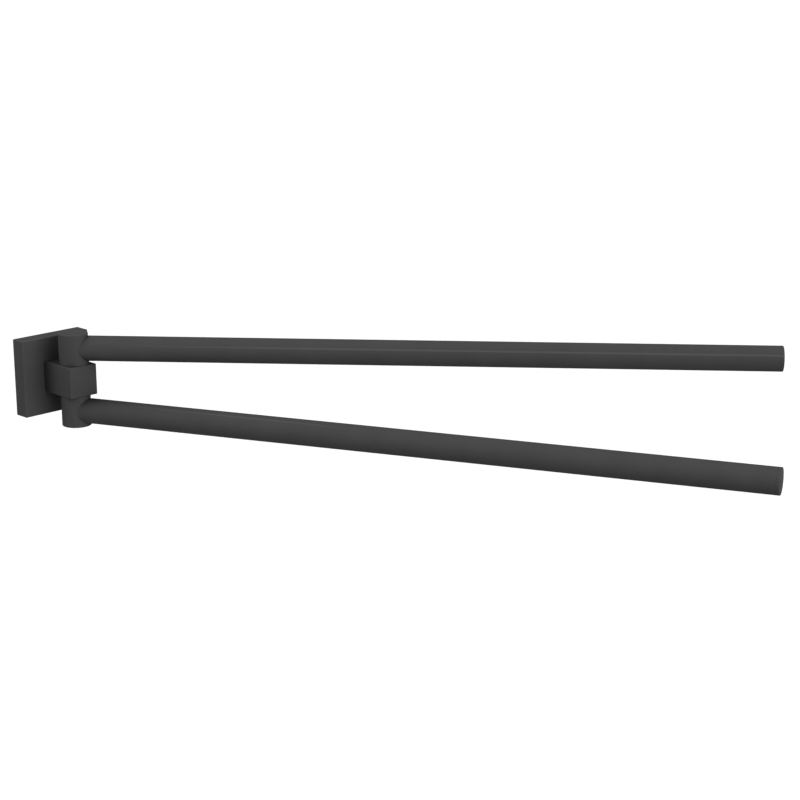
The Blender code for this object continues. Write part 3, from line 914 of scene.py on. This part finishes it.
def pivot_pin():
    """The pin through the post, chamfered, with a countersunk tapped hole in each end."""
    low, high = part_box("pivot_pin")
    radius = half_width("pivot_pin")
    outline = [
        (0, high.z),
        (radius - PIN_CHAMFER, high.z),
        (radius, high.z - PIN_CHAMFER),
        (radius, low.z + PIN_CHAMFER),
        (radius - PIN_CHAMFER, low.z),
        (0, low.z),
    ]
    axis = ARMS[0].centre
    pin = new_object("pivot_steel_pin", lathe(outline), pointing((axis.x, axis.y, 0), UP))
    for arm in ARMS:
        away = UP * arm.up
        start = Vector((axis.x, axis.y, 0)) + away * (high.z + BEYOND)
        lead = TAPPED_RADIUS + PIN_CHAMFER / 2 + BEYOND
        cut(pin, cylinder(TAPPED_RADIUS, start, TAPPED_DEPTH + BEYOND, -away))
        cut(pin, cylinder(lead, start, lead, -away, tip=0))
    place(pin, "wall_mount", "pivot_pin", stainless("pin", UP))


def pin_grub_screw():
    """The cup-point set screw in the post that holds the pin."""
    low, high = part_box("pin_grub_screw")
    length = high.y - low.y
    radius, _ = M6
    chamfered = length - PIN_GRUB_CHAMFER
    head = [(0, length), (radius - PIN_GRUB_CHAMFER, length), (radius, chamfered)]
    point = [(M6_POINT, 0), (PIN_GRUB_CUP_RADIUS, 0), (0, PIN_GRUB_CUP_DEPTH)]
    shape = threaded(head, M6, chamfered - THREAD_LAND, LONG_POINT, point)
    screw = new_object("pin_set_screw", shape, pointing((0, low.y, 0), TO_WALL))
    cut(screw, hex_socket(PIN_GRUB_SOCKET, (0, high.y, 0), -TO_WALL))
    place(screw, "wall_mount", "pin_grub_screw", black_oxide("pin_grub", TO_WALL))


# ---------------------------------------------------------------- arms


def hub(arm):
    """The turned hub: foot, flange recess and bore below, cup and cap seat above."""
    low = POST_TOP + HUB_CLEARANCE
    high = arm.hub_high
    flange = half_width(f"{arm.prefix}_bushing") + HOLE_GAP
    seat = heights(f"{arm.prefix}_bushing", arm.up)[0] + BUSH_FLANGE + HOLE_GAP
    bore = BUSH_RADIUS + HOLE_GAP
    cap = half_width(f"{arm.prefix}_hub_cap") + JOINT_LINE
    cap_low = heights(f"{arm.prefix}_hub_cap", arm.up)[0] - JOINT_LINE
    cup = cap - CUP_LEDGE
    outline = fillet(arm.hub_radius, high, HUB_ROUND, HUB_ROUND_STEPS)
    outline += fillet(arm.hub_radius, low, HUB_FOOT_ROUND, HUB_FOOT_STEPS, low=True)
    outline += [(flange, low), (flange, seat), (bore, seat), (bore, CUP_FLOOR)]
    outline += [(cup, CUP_FLOOR), (cup, cap_low), (cap, cap_low)]
    outline += [(cap, high - 2 * JOINT_LINE), (cap + 2 * JOINT_LINE, high)]
    item = new_object(f"{arm.prefix}_turned_hub", lathe(outline), arm.axis_matrix())
    cut(item, cylinder(M6_HOLE, arm.centre, 2 * arm.hub_radius, arm.aim))
    place(item, arm.body, f"{arm.prefix}_hub", HUB_COAT)


def hub_cap(arm):
    """The flush disc over the hub's cup."""
    low, high = heights(f"{arm.prefix}_hub_cap", arm.up)
    radius = half_width(f"{arm.prefix}_hub_cap")
    outline = [(0, high)] + fillet(radius, high, CAP_ROUND) + [(radius, low), (0, low)]
    item = new_object(f"{arm.prefix}_hub_cover", lathe(outline), arm.axis_matrix())
    place(item, arm.body, f"{arm.prefix}_hub_cap", HUB_COAT)


def bushing(arm):
    """The flanged bush, with its edges broken."""
    low, high = heights(f"{arm.prefix}_bushing", arm.up)
    flange = half_width(f"{arm.prefix}_bushing")
    lead = BUSH_LEAD
    outline = [(BUSH_BORE + lead, high), (BUSH_RADIUS - lead, high), (BUSH_RADIUS, high - lead)]
    outline += [(BUSH_RADIUS, low + BUSH_FLANGE)]
    outline += fillet(flange, low + BUSH_FLANGE, BUSH_ROUND)
    outline += fillet(flange, low, BUSH_ROUND, low=True)
    outline += [(BUSH_BORE + lead, low), (BUSH_BORE, low + lead), (BUSH_BORE, high - lead)]
    item = new_object(f"{arm.prefix}_flanged_bush", lathe(outline), arm.axis_matrix())
    place(item, arm.body, f"{arm.prefix}_bushing", ACETAL)


def wave_washer(arm):
    """A thin spring ring bent into waves."""
    low, high = heights(f"{arm.prefix}_wave_washer", arm.up)
    outer = half_width(f"{arm.prefix}_wave_washer")
    inner = BUSH_BORE + WAVE_CLEARANCE
    half = WAVE_WIRE / 2
    edge = WAVE_EDGE
    outline = [(outer - edge, half), (outer, half - edge), (outer, edge - half), (outer - edge, -half)]
    outline += [(inner + edge, -half), (inner, edge - half), (inner, half - edge), (inner + edge, half)]
    shape = lathe(outline)
    swing = (high - low) / 2 - half
    for vertex in shape.verts:
        vertex.co.z += (low + high) / 2 + swing * math.cos(WAVES * math.atan2(vertex.co.y, vertex.co.x))
    item = new_object(f"{arm.prefix}_spring_washer", shape, arm.axis_matrix())
    place(item, arm.body, f"{arm.prefix}_wave_washer", STEEL_Z)


def retaining_washer(arm):
    """The flat washer clamped on the pin's end."""
    low, high = heights(f"{arm.prefix}_retaining_washer", arm.up)
    outer = half_width(f"{arm.prefix}_retaining_washer")
    outline = fillet(outer, high, WASHER_ROUND) + fillet(outer, low, WASHER_ROUND, low=True)
    outline += [(WASHER_HOLE, low), (WASHER_HOLE, high)]
    item = new_object(f"{arm.prefix}_flat_washer", lathe(outline), arm.axis_matrix())
    place(item, "wall_mount", f"{arm.prefix}_retaining_washer", STEEL_Z)


def retaining_screw(arm):
    """The button-head screw in the pin's end."""
    tip, top = heights(f"{arm.prefix}_retaining_screw", arm.up)
    radius = half_width(f"{arm.prefix}_retaining_screw")
    seat = top - RETAINER_HEAD
    head = [(0, top)]
    for i in range(CROWN_STEPS + 1):
        angle = math.pi / 2 * i / CROWN_STEPS
        out = RETAINER_CROWN + (radius - RETAINER_CROWN) * math.sin(angle)
        rise = RETAINER_RIM + (RETAINER_HEAD - RETAINER_RIM) * math.cos(angle)
        head.append((out, seat + rise))
    head.append((radius, seat))
    point = [(M4_POINT, tip), (0, tip)]
    shape = threaded(head, M4, seat - SEAT_GAP, tip + SHORT_POINT, point)
    item = new_object(f"{arm.prefix}_button_screw", shape, arm.axis_matrix())
    away = UP * arm.up
    driven = Vector((arm.centre.x, arm.centre.y, 0)) + away * top
    cut(item, hex_socket(RETAINER_SOCKET, driven, -away))
    place(item, "wall_mount", f"{arm.prefix}_retaining_screw", BLACK_Z)


def arm_spigot(arm):
    """The stub between hub and tube: threaded nose, body with glue grooves, driven by a socket."""
    nose, end = arm.along("arm_spigot")
    shoulder = nose + SPIGOT_NOSE
    radius = arm.radius - TUBE_WALL - HOLE_GAP
    valley = radius - GROOVE_DEPTH
    head = [(0, end)] + fillet(radius, end, SPIGOT_ROUND)
    spacing = (end - shoulder) / (GLUE_GROOVES + 1)
    for number in range(GLUE_GROOVES):
        centre = end - spacing * (number + 1)
        head += [(radius, centre + GROOVE_HALF_MOUTH), (valley, centre + GROOVE_HALF_FLOOR)]
        head += [(valley, centre - GROOVE_HALF_FLOOR), (radius, centre - GROOVE_HALF_MOUTH)]
    head += [(radius, shoulder + SPIGOT_CHAMFER), (radius - SPIGOT_CHAMFER, shoulder)]
    point = [(M6_POINT, nose), (0, nose)]
    shape = threaded(head, M6, shoulder - SEAT_GAP, nose + SHORT_POINT, point)
    item = new_object(f"{arm.prefix}_threaded_spigot", shape, arm.matrix())
    cut(item, hex_socket(SPIGOT_SOCKET, arm.centre + arm.aim * end, -arm.aim))
    steel = stainless(f"{arm.prefix}_spigot", arm.aim)
    place(item, arm.body, f"{arm.prefix}_arm_spigot", steel)


def tube(arm, coat):
    """The arm's tube, its inner end cut to fit round the hub."""
    inner = arm.radius - TUBE_WALL
    end = arm.reach - PLUG_DISC - JOINT_LINE
    outline = [(arm.radius - JOINT_LINE, end), (arm.radius, end - JOINT_LINE)]
    outline += [(arm.radius, 0), (inner, 0), (inner, end)]
    item = new_object(f"{arm.prefix}_tube", lathe(outline), arm.matrix())
    below = arm.centre - UP * 2 * arm.hub_radius
    cut(item, cylinder(arm.hub_radius + JOINT_LINE / 2, below, 4 * arm.hub_radius, UP, 2 * FINE))
    place(item, arm.body, f"{arm.prefix}_arm_tube", coat)


def end_plug(arm, coat):
    """The arm's closed end: a disc as wide as the tube, and a ribbed plug inside it."""
    disc = arm.reach - PLUG_DISC
    start = arm.along("end_cap")[0]
    radius = arm.radius - TUBE_WALL - HOLE_GAP
    valley = radius - PLUG_RIB_DEPTH
    outline = [(0, arm.reach)] + fillet(arm.radius, arm.reach, PLUG_ROUND, PLUG_ROUND_STEPS)
    outline += [(arm.radius, disc + JOINT_LINE), (arm.radius - JOINT_LINE, disc), (radius, disc)]
    for number in range(PLUG_RIBS):
        rib = disc - PLUG_RIB_START - PLUG_RIB_PITCH * number
        outline += [(radius, rib), (valley, rib - PLUG_RIB_DEPTH)]
        outline += [(valley, rib - 2 * PLUG_RIB_DEPTH), (radius, rib - 3 * PLUG_RIB_DEPTH)]
    outline += [(radius, start + PLUG_CHAMFER), (radius - PLUG_CHAMFER, start), (0, start)]
    item = new_object(f"{arm.prefix}_end_plug", lathe(outline), arm.matrix())
    place(item, arm.body, f"{arm.prefix}_end_cap", coat)


def swing_arm(arm):
    """Everything that turns on one end of the pin, and the washer and screw that hold it there."""
    # The arm's coat carries painted corner shade, a painted edge highlight and a painted highlight line
    coat = powder_coat(f"{arm.prefix}_arm_coat", CORNER_TUBE, arm.aim, (arm, *HIGHLIGHT_LINES[arm.prefix]))
    hub(arm)
    hub_cap(arm)
    bushing(arm)
    wave_washer(arm)
    retaining_washer(arm)
    retaining_screw(arm)
    arm_spigot(arm)
    tube(arm, coat)
    end_plug(arm, coat)


# ---------------------------------------------------------------- stage


def towards(azimuth, elevation):
    """Unit vector from the holder. Azimuth 0 is straight out from the wall, and grows towards +X."""
    return Vector((
        math.sin(azimuth) * math.cos(elevation),
        -math.cos(azimuth) * math.cos(elevation),
        math.sin(elevation),
    ))


def face(item, back):
    """Turns a lamp or a camera so that it looks back along a direction."""
    item.rotation_mode = "QUATERNION"
    item.rotation_quaternion = (-back).to_track_quat("-Z", "Y")


def studio_lamp(name, azimuth, elevation, strength):
    """A broad, far softbox."""
    data = bpy.data.lights.new(name, "SUN")
    data.angle = LAMP_WIDTH
    data.energy = strength
    item = bpy.data.objects.new(name, data)
    bpy.context.scene.collection.objects.link(item)
    face(item, towards(azimuth, elevation))


def world():
    """An even white studio all round."""
    made = bpy.data.worlds.new("studio")
    made.use_nodes = True
    background = made.node_tree.nodes["Background"]
    background.inputs["Color"].default_value = (1, 1, 1, 1)
    background.inputs["Strength"].default_value = WORLD_LEVEL
    bpy.context.scene.world = made


def floor():
    """A wide pale floor below the holder."""
    shape = bmesh.new()
    bmesh.ops.create_circle(shape, cap_ends=True, segments=FLOOR_STEPS, radius=FLOOR_RADIUS)
    item = new_object("studio_floor", shape, Matrix.Translation((0, 0, -FLOOR_DROP)))
    made, _, shader = new_material("pale_floor")
    shader.inputs["Base Color"].default_value = (FLOOR_TONE, FLOOR_TONE, FLOOR_TONE, 1)
    shader.inputs["Roughness"].default_value = FLOOR_ROUGHNESS
    shader.inputs["Specular IOR Level"].default_value = FLOOR_SPECULAR
    item.data.materials.append(made)


def camera():
    """A camera that sees the holder as the photograph does."""
    data = bpy.data.cameras.new("photo_camera")
    data.lens = CAMERA_LENS
    data.sensor_width = CAMERA_SENSOR
    data.clip_start = CAMERA_CLIP_START
    data.clip_end = CAMERA_CLIP_END
    item = bpy.data.objects.new("photo_camera", data)
    bpy.context.scene.collection.objects.link(item)
    back = towards(CAMERA_AZIMUTH, CAMERA_ELEVATION)
    item.location = CAMERA_AIM + back * CAMERA_DISTANCE
    face(item, back)
    bpy.context.scene.camera = item


bpy.context.scene.view_settings.view_transform = "Standard"
camera()
world()
floor()
for lamp, setting in LAMPS.items():
    studio_lamp(lamp, *setting)

ARMS = [Arm("upper"), Arm("lower")]
POST_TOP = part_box("post_block")[1].z
# The coats differ only in how strong their painted corner shade is and how their painted edge highlight
# is measured
PLATE_COAT = powder_coat("black_powder_coat_plate", CORNER_PLATE)
POST_COAT = powder_coat("black_powder_coat_post", CORNER_POST)
HUB_COAT = powder_coat("black_powder_coat_hub", CORNER_HUB, UP)
STEEL_Z = stainless("upright", UP)
BLACK_Z = black_oxide("upright", UP)
ZINC = cast_zinc()
ACETAL = black_acetal()

wall_plate()
wall_bracket()
plate_grub_screw()
post()
post_screw()
post_dowel()
pivot_pin()
pin_grub_screw()
for arm in ARMS:
    swing_arm(arm)
